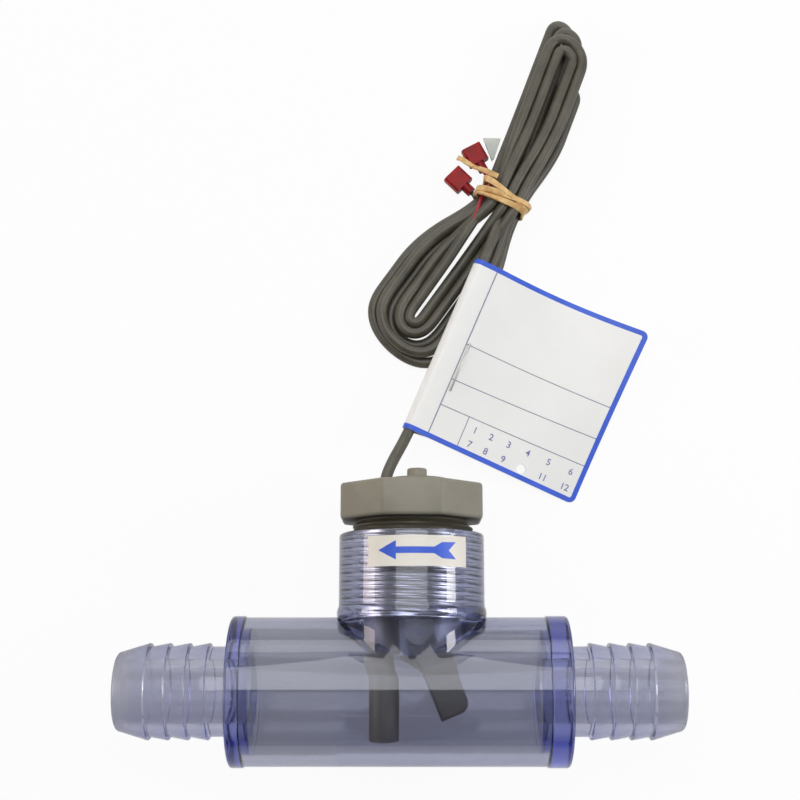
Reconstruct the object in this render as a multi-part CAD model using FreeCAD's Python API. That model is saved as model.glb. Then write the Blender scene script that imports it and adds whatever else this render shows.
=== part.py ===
"""Paddle flow switch in a clear PVC tee with two hose barbs, and its tied cable.

Millimetres. X runs along the pipe (the flow goes towards -X), Y along the branch that the
switch screws into, and Z up from the surface that the switch lies on. The origin is where
the run and branch axes cross.
"""
import FreeCAD
import Part
import math
import os

V = FreeCAD.Vector
ORIGIN = V(0, 0, 0)
X_AXIS = V(1, 0, 0)
Y_AXIS = V(0, 1, 0)
Z_AXIS = V(0, 0, 1)

# Tee
run_outer_r = 19.5
run_wall = 3.3
outlet_end = 44.4            # branch axis to the outlet end of the tee
inlet_end = 35.8
outlet_socket_step = 0.5     # the outlet socket, for one-inch pipe, is wider than the bore
branch_over = 0.1            # branch wider than the run, so that their sides don't coincide
branch_root_step = 0.45      # root of the branch, below its collar, slimmer than the branch
branch_collar_rise = 0.5
branch_bore_r = 13.4
branch_top = 41.8
branch_rim_fillet = 0.9
collar_low = 19.4            # height of the collar's widest band on the branch
collar_high = 21.0
collar_slope = 1.5
thread_bottom = 19.8         # floor of the tapped hole in the branch
thread_mouth_r = 16.2
thread_taper = 1 / 32        # one-inch taper thread, change of radius per length
thread_clearance = 0.05

# Hose barb adapters
flange_over = 0.35           # flanges stand proud of the run
outlet_flange = 3.6
inlet_flange = 5.7
flange_fillet = 0.8
spigot_length = 2.4
spigot_clearance = 0.05
barb_bore_r = 8.5
barb_length = 30.4
barb_count = 4
barb_pitch = 5.3
barb_first = 5.7             # flange face to the first crest
barb_crest_r = 12.7
barb_crest_land = 0.5
barb_root_r = 11.8
barb_tip_r = 10.2
barb_tip_fillet = 1.2

# Switch head and threaded plug
head_flats = 38.1
head_bottom = 45.2
head_height = 9.8
head_chamfer = 0.7
boss_r = 9.0
boss_height = 1.8
boss_x = 1.5
neck_r = 15.0
ridge_r = 16.5               # crest of the one thread turn that stays out of the tee
ridge_y = 43.3
ridge_half = 0.55
plug_end_gap = 0.5

# Paddle, its clevis and pin
pivot_x = 1.8
pivot_drop = 4.1             # plug end to the pin
paddle_tilt = 22.0           # degrees from hanging straight, at rest
hub_r = 3.4
hub_width = 13.4
clevis_gap = 0.2
ear_thickness = 2.2
ear_width = 7.0
pin_r = 1.2
pin_clearance = 0.05
blade_down = 3.4             # downstream face, from the line through the pin
blade_up_top = 5.6
blade_up_low = 5.0
blade_top = 5.2              # below the pin
blade_bend = 18.0
blade_tip = 24.2
blade_width = 17.0
blade_nose_r = 2.8
blade_edge_fillet = 0.8
neck_round_r = 1.2

# Paddle magnet and its cap
magnet_drop = 17.6
magnet_r = 2.5
magnet_length = 4.0
magnet_cap_length = 1.0
magnet_clearance = 0.05

# Return magnet in the plug and the plug that closes its bore
port_r = 2.3
port_plug_r = 2.7
port_plug_shoulder = 1.2
port_plug_top = 3.0
return_magnet_r = 2.2
return_magnet_length = 6.0
port_floor = 3.0

# Reed stem
stem_x = -7.4
stem_r = 4.0
stem_end = -13.1
stem_bore_r = 2.6
stem_wall_end = 1.8
stem_seat_depth = 12.0
stem_clearance = 0.05
stem_end_fillet = 0.6

# Reed switch and its leads
reed_offset = 0.75           # the capsule sits off the stem's axis, towards the paddle
reed_r = 1.15
reed_wall = 0.3
reed_length = 14.0
reed_y = -1.6
reed_lead_r = 0.3
reed_seal = 2.0
reed_blade_width = 1.1
reed_blade_thickness = 0.2
reed_overlap = 1.4
reed_gap = 0.12
lead_drop = 1.6
core_r = 0.55
core_offset = -1.5
core_joint = 3.5
sleeve_r = 0.95
sleeve_length = 6.0
core_top = 49.0

# Arrow label
label_thickness = 0.12
label_drop = 2.0             # branch rim to the label's upper edge
label_height = 8.0
label_left = -11.3
label_right = 14.1

run_bore_r = run_outer_r - run_wall
outlet_socket_r = run_bore_r + outlet_socket_step
branch_outer_r = run_outer_r + branch_over
branch_root_r = branch_outer_r - branch_root_step
branch_collar_r = branch_outer_r + branch_collar_rise
outlet_socket_stop = run_outer_r   # the socket is open as far as the branch's side
flange_r = run_outer_r + flange_over
floor_z = -flange_r
label_high = branch_top - label_drop
label_low = label_high - label_height

# Cable
cable_r = 1.6
cable_entry = 50.0
cable_clearance = 0.05
cable_mouth_r = 3.0          # the bore flares where the cable bends away
cable_mouth_depth = 3.8
cable_route = [
    (stem_x, cable_entry, 0), (stem_x, 56.0, 0), (-5.9, 61.2, -3.2), (-1.6, 70.0, -10.1),
    (1.7, 77.6, -10.5), (7.7, 92.0, -10.5), (14.2, 106.9, -10.5), (21.3, 123.1, -10.5),
    (24.6, 131.3, -11.7), (26.2, 136.6, -13.6), (27.1, 140.4, -14.6)]

# Hank, its waist and the rubber band
hank_height = 7.0
waist_centre = (27.0, 141.6)
waist_r = 6.0
waist_axis = (0.52, 0.854)
waist_half_width = 7.2
waist_height = 9.4
waist_length = 5.0
upper_tip = (45.6, 188.8)
upper_tip_r = 9.2
lower_left = (-6.4, 108.4)
lower_left_r = 7.2
lower_right = (5.2, 98.2)
lower_right_r = 8.0
band_length = 4.6
band_thickness = 1.0
band_clearance = 0.05

# Leads at the cable's far end and their terminals
wire_r = 0.65
wire_red_route = [
    (13.0, 120.9, -13.3), (15.0, 125.9, -12.0), (17.0, 131.0, -11.6), (18.6, 136.3, -11.6),
    (20.4, 141.3, -12.2), (22.6, 145.3, -13.9), (23.7, 148.4, -16.4), (22.37, 150.79, -18.15),
    (20.99, 153.39, -18.15)]
wire_black_route = [
    (9.6, 118.0, -14.6), (11.3, 122.4, -14.6), (13.4, 127.4, -14.6), (16.0, 133.0, -14.9),
    (18.0, 137.9, -15.8), (19.1, 141.5, -17.2), (18.95, 144.35, -18.15), (16.87, 146.43, -18.15)]
terminal_width = 6.2
terminal_height = 3.4
terminal_length = 8.4
terminal_housing = 5.6
terminal_fillet = 0.9
terminal_barrel_r = 1.5
terminal_slot_width = 4.4
terminal_slot_height = 1.3
terminal_slot_depth = 4.6
terminal_clearance = 0.05
tab_thickness = 0.8
tab_length = 4.0
red_terminal_at = (21.74, 151.98)
red_terminal_turn = 118.0    # degrees from +X, the way the mouth points
black_terminal_at = (18.0, 145.3)
black_terminal_turn = 135.0
flag_outline = [(21.7, 162.6), (26.9, 162.5), (24.9, 156.4), (24.2, 155.6)]
flag_thickness = 1.2

# Tag, folded round the cable, and its staple
tag_thickness = 0.25
tag_width = 52.5
tag_height = 53.6
tag_centre = (10.07, 96.88, -10.5)   # on the cable, half way up the tag
tag_turn = 66.8              # degrees from +X, the way the fold runs
tag_slope = 12.6             # degrees, down from the fold to the free edge
tag_clearance = 0.4
tag_closing = 7.6            # left edge to where the two layers meet
staple_r = 0.25
staple_u = 8.0
staple_v = 15.0
staple_length = 14.6
staple_foot = 3.0
staple_clearance = 0.05

head_top = head_bottom + head_height
boss_top = head_top + boss_height
plug_end = thread_bottom + plug_end_gap
pivot_y = plug_end - pivot_drop
pivot = V(pivot_x, pivot_y, 0)
reed_x = stem_x + reed_offset
reed_low = reed_y - reed_length / 2
reed_high = reed_y + reed_length / 2
core_x = stem_x + core_offset
stem_top = plug_end + stem_seat_depth


def vec(point):
    """A vector in the plane z = 0 from two numbers, or in space from three."""
    return V(*point)


def cylinder(radius, start, end):
    """A round bar between two points."""
    axis = end - start
    return Part.makeCylinder(radius, axis.Length, start, axis)


def along_x(radius, x_from, x_to, y=0.0, z=0.0):
    """A round bar parallel to the run."""
    return cylinder(radius, V(x_from, y, z), V(x_to, y, z))


def along_y(radius, y_from, y_to, x=0.0, z=0.0):
    """A round bar parallel to the branch."""
    return cylinder(radius, V(x, y_from, z), V(x, y_to, z))


def along_z(radius, half_width, x, y):
    """A round bar parallel to Z, centred on z = 0."""
    return cylinder(radius, V(x, y, -half_width), V(x, y, half_width))


def box(low, high):
    """A box between two corners."""
    size = V(*high) - V(*low)
    return Part.makeBox(size.x, size.y, size.z, V(*low))


def revolve_x(profile):
    """Turn a closed outline of (x, radius) about the run axis."""
    wire = Part.makePolygon([V(x, r, 0) for x, r in profile + profile[:1]])
    return Part.Face(wire).revolve(ORIGIN, X_AXIS, 360)


def revolve_y(profile):
    """Turn a closed outline of (radius, y) about the branch axis."""
    wire = Part.makePolygon([V(r, y, 0) for r, y in profile + profile[:1]])
    return Part.Face(wire).revolve(ORIGIN, Y_AXIS, 360)


def circles_at(shape, axis, place, radius):
    """The round edges of a shape that lie in a plane across an axis, at a radius."""
    found = []
    for edge in shape.Edges:
        curve = edge.Curve
        if isinstance(curve, Part.Circle) and abs(curve.Radius - radius) < 1e-3:
            if abs(curve.Center.dot(axis) - place) < 1e-3:
                found.append(edge)
    return found


def rounded_path(points):
    """Straight runs joined by arcs as large as the shorter run beside each point allows."""
    points = [vec(p) for p in points]
    edges = []
    radii = []
    start = points[0]
    for before, corner, after in zip(points, points[1:], points[2:]):
        into = (corner - before).normalize()
        out = (after - corner).normalize()
        half_turn = into.getAngle(out) / 2
        reach = 0.45 * min((corner - before).Length, (after - corner).Length)
        radius = reach / math.tan(half_turn)
        inward = (out - into).normalize()
        middle = corner + inward * (radius / math.cos(half_turn) - radius)
        arc_start = corner - into * reach
        arc_end = corner + out * reach
        edges.append(Part.LineSegment(start, arc_start).toShape())
        edges.append(Part.Arc(arc_start, middle, arc_end).toShape())
        radii.append(radius)
        start = arc_end
    edges.append(Part.LineSegment(start, points[-1]).toShape())
    return Part.Wire(edges), radii


def tube(name, points, radius):
    """A solid cord along a route, with a report of its length, tightest arc and volume."""
    path, radii = rounded_path(points)
    direction = vec(points[1]) - vec(points[0])
    circle = Part.makeCircle(radius, vec(points[0]), direction)
    solid = path.makePipeShell([Part.Wire(circle)], True, False)
    section = math.pi * radius * radius
    print(f"{name}: length {path.Length:.1f}, tightest arc {min(radii):.1f}, "
          f"arcs {[round(r, 1) for r in radii]}, "
          f"volume share {solid.Volume / (section * path.Length):.4f}")
    return solid


def tapered_outline(centre_a, r_a, centre_b, r_b):
    """Two discs and the sheet between their outer tangents, as one face in the XY plane."""
    a = V(*centre_a)
    b = V(*centre_b)
    along = (b - a).normalize()
    side = V(-along.y, along.x, 0)
    lean = math.asin((r_a - r_b) / (b - a).Length)
    left = side * math.cos(lean) + along * math.sin(lean)
    right = side * -math.cos(lean) + along * math.sin(lean)
    edges = [
        Part.LineSegment(a + left * r_a, b + left * r_b).toShape(),
        Part.Arc(b + left * r_b, b + along * r_b, b + right * r_b).toShape(),
        Part.LineSegment(b + right * r_b, a + right * r_a).toShape(),
        Part.Arc(a + right * r_a, a - along * r_a, a + left * r_a).toShape()]
    return Part.Face(Part.Wire(edges))


def stadium(half_width, height, length, centre, axis):
    """A flat-sided oval bar: its section is across an axis in the XY plane."""
    along = V(*axis, 0).normalize()
    across = V(along.y, -along.x, 0)
    end_r = height / 2
    straight = half_width - end_r
    base = centre - along * (length / 2)
    corners = [base + across * (s * straight) + Z_AXIS * (t * end_r)
               for s, t in ((-1, 1), (1, 1), (1, -1), (-1, -1))]
    edges = [
        Part.LineSegment(corners[0], corners[1]).toShape(),
        Part.Arc(corners[1], base + across * half_width, corners[2]).toShape(),
        Part.LineSegment(corners[2], corners[3]).toShape(),
        Part.Arc(corners[3], base - across * half_width, corners[0]).toShape()]
    return Part.Face(Part.Wire(edges)).extrude(along * length)


def thread_cone(clearance, y_from, y_to):
    """The tapped hole's cone, or the plug's when it gets a clearance, between two heights."""
    def radius(y):
        return thread_mouth_r - (branch_top - y) * thread_taper - clearance
    return revolve_y([(0, y_from), (radius(y_from), y_from), (radius(y_to), y_to), (0, y_to)])


# Tee and adapters

def make_tee_body():
    """Clear tee: run and branch outside, bores, outlet socket and tapped hole inside."""
    run = along_x(run_outer_r, -outlet_end, inlet_end)
    branch = revolve_y([
        (0, 0), (branch_root_r, 0), (branch_root_r, collar_low - collar_slope),
        (branch_collar_r, collar_low), (branch_collar_r, collar_high),
        (branch_outer_r, collar_high + collar_slope), (branch_outer_r, branch_top),
        (0, branch_top)])
    outside = run.fuse(branch)
    rim = circles_at(outside, Y_AXIS, branch_top, branch_outer_r)
    outside = outside.makeFillet(branch_rim_fillet, rim)
    bores = along_x(run_bore_r, -outlet_end, inlet_end)
    bores = bores.fuse(along_x(outlet_socket_r, -outlet_end, -outlet_socket_stop))
    bores = bores.fuse(along_y(branch_bore_r, 0, thread_bottom))
    bores = bores.fuse(thread_cone(0, thread_bottom, branch_top))
    return outside.cut(bores).removeSplitter()


def barb_profile(side, flange_face, flange, spigot_r):
    """Outline of one adapter; side is the way its hose end points along X."""
    inner_face = flange_face - side * flange
    spigot_end = inner_face - side * spigot_length
    points = [(spigot_end, barb_bore_r), (spigot_end, spigot_r), (inner_face, spigot_r),
              (inner_face, flange_r), (flange_face, flange_r), (flange_face, barb_root_r)]
    for i in range(barb_count):
        crest = flange_face + side * (barb_first + i * barb_pitch)
        points += [(crest, barb_root_r), (crest, barb_crest_r),
                   (crest + side * barb_crest_land, barb_crest_r)]
        if i < barb_count - 1:
            points.append((crest + side * (barb_pitch - barb_crest_land), barb_root_r))
    tip = flange_face + side * barb_length
    points += [(tip, barb_tip_r), (tip, barb_bore_r)]
    return points


def make_barb(side, end, flange, spigot_r):
    """Hose barb adapter with its flange on the end of the tee and its spigot inside."""
    flange_face = side * (end + flange)
    solid = revolve_x(barb_profile(side, flange_face, flange, spigot_r))
    solid = solid.makeFillet(flange_fillet, circles_at(solid, X_AXIS, flange_face, flange_r))
    tip = flange_face + side * barb_length
    return solid.makeFillet(barb_tip_fillet, circles_at(solid, X_AXIS, tip, barb_tip_r))


# Switch head, plug and what is fixed in them

def octagon(flats, y_from, y_to):
    """Eight-sided bar along the branch with a flat facing up."""
    corner_r = flats / 2 / math.cos(math.pi / 8)
    points = [V(corner_r * math.cos(math.pi * (2 * i + 1) / 8), y_from,
                corner_r * math.sin(math.pi * (2 * i + 1) / 8)) for i in range(9)]
    return Part.Face(Part.makePolygon(points)).extrude(Y_AXIS * (y_to - y_from))


def clevis_ears():
    """Two ears under the plug that carry the paddle's pin."""
    inner = hub_width / 2 + clevis_gap
    ears = []
    for side in (-1, 1):
        z_low, z_high = sorted((side * inner, side * (inner + ear_thickness)))
        plate = box((pivot_x - ear_width / 2, pivot_y, z_low),
                    (pivot_x + ear_width / 2, plug_end + 1, z_high))
        round_end = cylinder(ear_width / 2, V(pivot_x, pivot_y, z_low),
                             V(pivot_x, pivot_y, z_high))
        ears.append(plate.fuse(round_end))
    return ears


def make_switch_head():
    """Octagonal head, neck, taper plug and clevis in one moulding, bored for what it holds."""
    head = octagon(head_flats, head_bottom, head_top)
    rims = [e for e in head.Edges if abs(e.Vertexes[0].Y - e.Vertexes[1].Y) < 1e-6]
    head = head.makeChamfer(head_chamfer, rims)
    boss = along_y(boss_r, head_top - 1, boss_top, boss_x)
    neck = revolve_y([
        (0, branch_top - 1), (neck_r, branch_top - 1), (neck_r, ridge_y - 2 * ridge_half),
        (ridge_r, ridge_y - ridge_half / 2), (ridge_r, ridge_y + ridge_half / 2),
        (neck_r, ridge_y + 2 * ridge_half), (neck_r, head_bottom + 1), (0, head_bottom + 1)])
    plug = thread_cone(thread_clearance, plug_end, branch_top)
    solid = plug.fuse([neck, head, boss] + clevis_ears())
    pin_hole = along_z(pin_r, hub_width, pivot_x, pivot_y)
    stem_seat = along_y(stem_r + stem_clearance, plug_end, stem_top, stem_x)
    cable_bore = along_y(cable_r + cable_clearance, cable_entry, boss_top, stem_x)
    mouth_low = V(stem_x, boss_top - cable_mouth_depth, 0)
    mouth = Part.makeCone(cable_r + cable_clearance, cable_mouth_r, cable_mouth_depth,
                          mouth_low, Y_AXIS)
    cavity = along_y(stem_bore_r, stem_top, cable_entry, stem_x)
    port = along_y(port_r, plug_end + port_floor, boss_top, boss_x)
    port_seat = along_y(port_plug_r, boss_top - port_plug_shoulder, boss_top, boss_x)
    holes = [pin_hole, stem_seat, cable_bore, mouth, cavity, port, port_seat]
    return solid.cut(holes).removeSplitter()


def make_port_plug():
    """Plug with a round head that closes the return magnet's bore."""
    collar = along_y(port_plug_r, boss_top - port_plug_shoulder, boss_top + port_plug_top, boss_x)
    collar = collar.makeChamfer(0.3, circles_at(collar, Y_AXIS, boss_top + port_plug_top,
                                                port_plug_r))
    return_magnet_top = plug_end + port_floor + return_magnet_length
    shank = along_y(port_r - 0.05, return_magnet_top, boss_top, boss_x)
    return collar.fuse(shank).removeSplitter()


def make_return_magnet():
    """Bar magnet at the bottom of its bore, above the paddle's hub."""
    low = plug_end + port_floor
    return along_y(return_magnet_r, low, low + return_magnet_length, boss_x)


def make_reed_stem():
    """Closed-end tube that holds the reed switch in the flow."""
    tube_body = along_y(stem_r, stem_end, stem_top, stem_x)
    tube_body = tube_body.makeFillet(stem_end_fillet,
                                     circles_at(tube_body, Y_AXIS, stem_end, stem_r))
    return tube_body.cut(along_y(stem_bore_r, stem_end + stem_wall_end, stem_top, stem_x))


# Reed switch, leads and potting

def make_reed_capsule():
    """Glass tube, sealed round a lead at each end."""
    glass = along_y(reed_r, reed_low, reed_high, reed_x)
    glass = glass.makeFillet(reed_r / 2, circles_at(glass, Y_AXIS, reed_low, reed_r)
                             + circles_at(glass, Y_AXIS, reed_high, reed_r))
    hollow = along_y(reed_r - reed_wall, reed_low + reed_seal, reed_high - reed_seal, reed_x)
    leads = along_y(reed_lead_r, reed_low, reed_high, reed_x)
    return glass.cut([hollow, leads])


def reed_flat(side):
    """Flat contact end of a reed blade; side is +1 for the upper one."""
    seal = reed_y + side * (reed_length / 2 - reed_seal)
    tip = reed_y - side * reed_overlap / 2
    shift = side * (reed_gap + reed_blade_thickness) / 2
    half = reed_blade_thickness / 2
    y_low, y_high = sorted((tip, seal))
    return box((reed_x + shift - half, y_low, -reed_blade_width / 2),
               (reed_x + shift + half, y_high, reed_blade_width / 2))


def make_upper_blade():
    """Upper blade with its straight lead."""
    lead = along_y(reed_lead_r, reed_high - reed_seal, reed_high + core_joint, reed_x)
    return lead.fuse(reed_flat(1)).removeSplitter()


def make_lower_blade():
    """Lower blade; its lead bends across to the return core below the glass."""
    turn_y = reed_low - lead_drop
    path, _ = rounded_path([(reed_x, reed_low + reed_seal, 0), (reed_x, turn_y, 0),
                            (core_x, turn_y, 0)])
    circle = Part.makeCircle(reed_lead_r, V(reed_x, reed_low + reed_seal, 0), Y_AXIS)
    lead = path.makePipeShell([Part.Wire(circle)], True, False)
    return lead.fuse(reed_flat(-1)).removeSplitter()


def make_core_black():
    """Insulated core from the cable down past the glass to the lower lead."""
    low = reed_low - lead_drop + reed_lead_r
    return along_y(core_r, low, core_top, core_x)


def make_core_red():
    """Insulated core from the cable down to the upper lead."""
    return along_y(core_r, reed_high + core_joint, core_top, reed_x)


def make_lead_sleeve():
    """Heat-shrink sleeve over the joint of the red core and the upper lead."""
    low = reed_high + core_joint - sleeve_length / 2
    sleeve = along_y(sleeve_r, low, low + sleeve_length, reed_x)
    return sleeve.cut([make_core_red(), make_upper_blade()])


def make_potting():
    """Resin that fills the stem and the cavity above it round the switch and the cores."""
    cavity = along_y(stem_bore_r, stem_end + stem_wall_end, cable_entry, stem_x)
    inside = [make_reed_capsule(), make_upper_blade(), make_lower_blade(), make_core_black(),
              make_core_red(), make_lead_sleeve(),
              along_y(reed_r - reed_wall, reed_low + reed_seal, reed_high - reed_seal, reed_x)]
    return cavity.cut(inside)


# Paddle

def hung(shape):
    """Move a shape that is drawn hanging straight from the origin to its place at rest."""
    shape.rotate(ORIGIN, Z_AXIS, paddle_tilt)
    shape.translate(pivot)
    return shape


def magnet_bar(radius, depth_from, depth_to):
    """A bar square to the paddle's downstream face, between two depths below that face."""
    return along_x(radius, -blade_down + depth_from, -blade_down + depth_to, -magnet_drop)


def make_paddle():
    """Thick blade with a rounded nose, a narrower neck and a hub on the pin."""
    nose_x = blade_up_low - blade_nose_r
    nose_y = -blade_tip + blade_nose_r
    slant = math.sqrt(0.5) * blade_nose_r
    outline = [
        Part.LineSegment(V(-blade_down, -blade_top, 0), V(-blade_down, -blade_tip, 0)).toShape(),
        Part.LineSegment(V(-blade_down, -blade_tip, 0), V(nose_x, -blade_tip, 0)).toShape(),
        Part.Arc(V(nose_x, -blade_tip, 0), V(nose_x + slant, nose_y - slant, 0),
                 V(blade_up_low, nose_y, 0)).toShape(),
        Part.LineSegment(V(blade_up_low, nose_y, 0), V(blade_up_low, -blade_bend, 0)).toShape(),
        Part.LineSegment(V(blade_up_low, -blade_bend, 0),
                         V(blade_up_top, -blade_top, 0)).toShape(),
        Part.LineSegment(V(blade_up_top, -blade_top, 0),
                         V(-blade_down, -blade_top, 0)).toShape()]
    blade = Part.Face(Part.Wire(outline)).extrude(Z_AXIS * blade_width)
    blade.translate(Z_AXIS * (-blade_width / 2))
    sides = [e for e in blade.Edges
             if all(abs(abs(v.Z) - blade_width / 2) < 1e-6 for v in e.Vertexes)
             and abs(e.Vertexes[0].Z - e.Vertexes[1].Z) < 1e-6]
    blade = blade.makeFillet(blade_edge_fillet, sides)
    half = hub_width / 2
    hub = along_z(hub_r, half, 0, 0)
    neck = box((-blade_down, -blade_top - blade_edge_fillet - neck_round_r, -half),
               (hub_r, 0, half))
    solid = blade.fuse([hub, neck]).removeSplitter()
    bore = along_z(pin_r + pin_clearance, blade_width, 0, 0)
    pocket = magnet_bar(magnet_r + magnet_clearance, 0, magnet_length + magnet_cap_length)
    return hung(solid.cut([bore, pocket]))


def make_paddle_magnet():
    """Disc magnet in the paddle, level with the reed switch when the paddle hangs straight."""
    return hung(magnet_bar(magnet_r, magnet_cap_length, magnet_cap_length + magnet_length))


def make_magnet_cap():
    """Cap that seals the magnet's pocket, flush with the downstream face."""
    return hung(magnet_bar(magnet_r, 0, magnet_cap_length))


def make_pivot_pin():
    """Pin through both ears."""
    half = hub_width / 2 + clevis_gap + ear_thickness
    return along_z(pin_r, half, pivot_x, pivot_y)


def make_arrow_label():
    """Thin sticker wrapped on the front of the branch."""
    outer = along_y(branch_outer_r + label_thickness, label_low, label_high)
    ring = outer.cut(along_y(branch_outer_r, label_low, label_high))
    past_front = branch_outer_r + 2 * label_thickness
    front = box((label_left, label_low, 0), (label_right, label_high, past_front))
    return ring.common(front)


# Cable, hank, band, leads and terminals

def waist_point():
    """Centre of the hank's waist, lifted by the band that passes under it."""
    return V(*waist_centre, floor_z + band_thickness + band_clearance + waist_height / 2)


def make_cable_hank():
    """Outer shape of the folded cable: an upper and a lower lobe and a round waist."""
    waist = waist_centre + (waist_r,)
    lobes = [
        (waist_centre, waist_r, upper_tip, upper_tip_r),
        (waist_centre, waist_r, lower_left, lower_left_r),
        (waist_centre, waist_r, lower_right, lower_right_r),
        (lower_left, lower_left_r, lower_right, lower_right_r)]
    solid = None
    for centre_a, r_a, centre_b, r_b in lobes:
        slab = tapered_outline(centre_a, r_a, centre_b, r_b).extrude(Z_AXIS * hank_height)
        solid = slab if solid is None else solid.fuse(slab)
    middle = Part.makePolygon([V(*p) for p in (waist[:2], lower_left, lower_right, waist[:2])])
    solid = solid.fuse(Part.Face(middle).extrude(Z_AXIS * hank_height)).removeSplitter()
    solid.translate(Z_AXIS * floor_z)
    centre = waist_point()
    cleared = stadium(3 * waist_half_width, 2 * waist_height, waist_length, centre, waist_axis)
    core = stadium(waist_half_width, waist_height, waist_length, centre, waist_axis)
    return solid.cut(cleared).fuse(core).removeSplitter()


def make_rubber_band():
    """Band wound round the hank's waist, as one flat ring."""
    centre = waist_point()
    grow = band_clearance + band_thickness
    outer = stadium(waist_half_width + grow, waist_height + 2 * grow, band_length, centre,
                    waist_axis)
    inner = stadium(waist_half_width + band_clearance, waist_height + 2 * band_clearance,
                    band_length, centre, waist_axis)
    return outer.cut(inner)


def placed_terminal(shape, place, turn):
    """Turn a shape drawn along +X from its wire end, and set it on the floor."""
    shape.rotate(ORIGIN, Z_AXIS, turn)
    shape.translate(V(*place, floor_z + terminal_height / 2))
    return shape


def make_terminal_sleeve(place, turn):
    """Insulating sleeve: a round barrel for the lead and a flat housing for the contact."""
    housing_start = terminal_length - terminal_housing
    half_width = terminal_width / 2
    half_height = terminal_height / 2
    housing = box((housing_start, -half_width, -half_height),
                  (terminal_length, half_width, half_height))
    long_edges = [e for e in housing.Edges if abs(e.Vertexes[0].X - e.Vertexes[1].X) > 1]
    housing = housing.makeFillet(terminal_fillet, long_edges)
    barrel = along_x(terminal_barrel_r, 0, housing_start + terminal_fillet)
    entry = along_x(wire_r + terminal_clearance, 0, housing_start)
    mouth = terminal_length - terminal_slot_depth
    slot = box((mouth, -terminal_slot_width / 2, -terminal_slot_height / 2),
               (terminal_length, terminal_slot_width / 2, terminal_slot_height / 2))
    return placed_terminal(housing.fuse(barrel).cut([entry, slot]).removeSplitter(), place, turn)


def make_terminal_contact(place, turn):
    """Tinned contact blade at the bottom of the housing's slot."""
    start = terminal_length - terminal_slot_depth
    blade = box((start, -terminal_slot_width / 2 + terminal_clearance, -tab_thickness / 2),
                (start + tab_length, terminal_slot_width / 2 - terminal_clearance,
                 tab_thickness / 2))
    return placed_terminal(blade, place, turn)


def make_lead_flag():
    """Small stiff white flag beside the leads."""
    wire = Part.makePolygon([V(*p) for p in flag_outline + flag_outline[:1]])
    flag = Part.Face(wire).extrude(Z_AXIS * flag_thickness)
    flag.translate(Z_AXIS * floor_z)
    return flag


# Tag and staple

def tag_placed(shape):
    """Move a shape from the tag's own frame to its place round the cable.

    In that frame u runs from the fold to the free edge, v along the fold and w out of the
    printed face. Its origin is at the cable, half way along the fold.
    """
    turn = math.radians(tag_turn)
    slope = math.radians(tag_slope)
    up_fold = V(math.cos(turn), math.sin(turn), 0)
    across = up_fold.cross(Z_AXIS) * math.cos(slope) - Z_AXIS * math.sin(slope)
    normal = across.cross(up_fold)
    low = V(*tag_centre)
    matrix = FreeCAD.Matrix(across.x, up_fold.x, normal.x, low.x,
                            across.y, up_fold.y, normal.y, low.y,
                            across.z, up_fold.z, normal.z, low.z,
                            0, 0, 0, 1)
    return shape.transformed(matrix)


def teardrop(radius, tip_u, tip_w):
    """A bar along v: round about the cable, with two flanks that meet at a tip."""
    reach = math.hypot(tip_u, tip_w)
    lean = math.atan2(tip_w, tip_u)
    open_angle = math.acos(radius / reach)
    touch = [V(radius * math.cos(lean + s * open_angle), -tag_height / 2,
               radius * math.sin(lean + s * open_angle)) for s in (1, -1)]
    back = V(-radius * math.cos(lean), -tag_height / 2, -radius * math.sin(lean))
    tip = V(tip_u, -tag_height / 2, tip_w)
    edges = [
        Part.Arc(touch[0], back, touch[1]).toShape(),
        Part.LineSegment(touch[1], tip).toShape(),
        Part.LineSegment(tip, touch[0]).toShape()]
    return Part.Face(Part.Wire(edges)).extrude(Y_AXIS * tag_height)


def make_tag():
    """Vinyl tag folded round the cable; its two layers lie together beyond the fold."""
    outer_r = cable_r + tag_clearance + tag_thickness
    inner_r = outer_r - tag_thickness
    tip_u = tag_closing - outer_r
    shrink = inner_r / outer_r
    fold = teardrop(outer_r, tip_u, outer_r).cut(
        teardrop(inner_r, tip_u * shrink, outer_r * shrink))
    meet_u = tip_u * shrink - tag_thickness
    sheet = box((meet_u, -tag_height / 2, outer_r - 2 * tag_thickness),
                (tag_width - outer_r, tag_height / 2, outer_r))
    legs = [cylinder(staple_r + staple_clearance, V(staple_u - outer_r, v, 0),
                     V(staple_u - outer_r, v, 2 * outer_r)) for v in staple_ends()]
    return tag_placed(fold.fuse(sheet).cut(legs).removeSplitter())


def staple_ends():
    """Places of the staple's two legs along the fold."""
    low = staple_v - tag_height / 2
    return low, low + staple_length


def make_tag_staple():
    """Wire staple along the fold: a crown on top, two legs and two feet folded inwards."""
    outer_r = cable_r + tag_clearance + tag_thickness
    u = staple_u - outer_r
    over = outer_r + staple_r
    under = outer_r - 2 * tag_thickness - staple_r
    v_low, v_high = staple_ends()
    corners = [V(u, v_low + staple_foot, under), V(u, v_low, under), V(u, v_low, over),
               V(u, v_high, over), V(u, v_high, under), V(u, v_high - staple_foot, under)]
    solid = Part.makeSphere(staple_r, corners[1])
    for joint in corners[2:5]:
        solid = solid.fuse(Part.makeSphere(staple_r, joint))
    for start, end in zip(corners, corners[1:]):
        solid = solid.fuse(cylinder(staple_r, start, end))
    return tag_placed(solid.removeSplitter())


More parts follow.
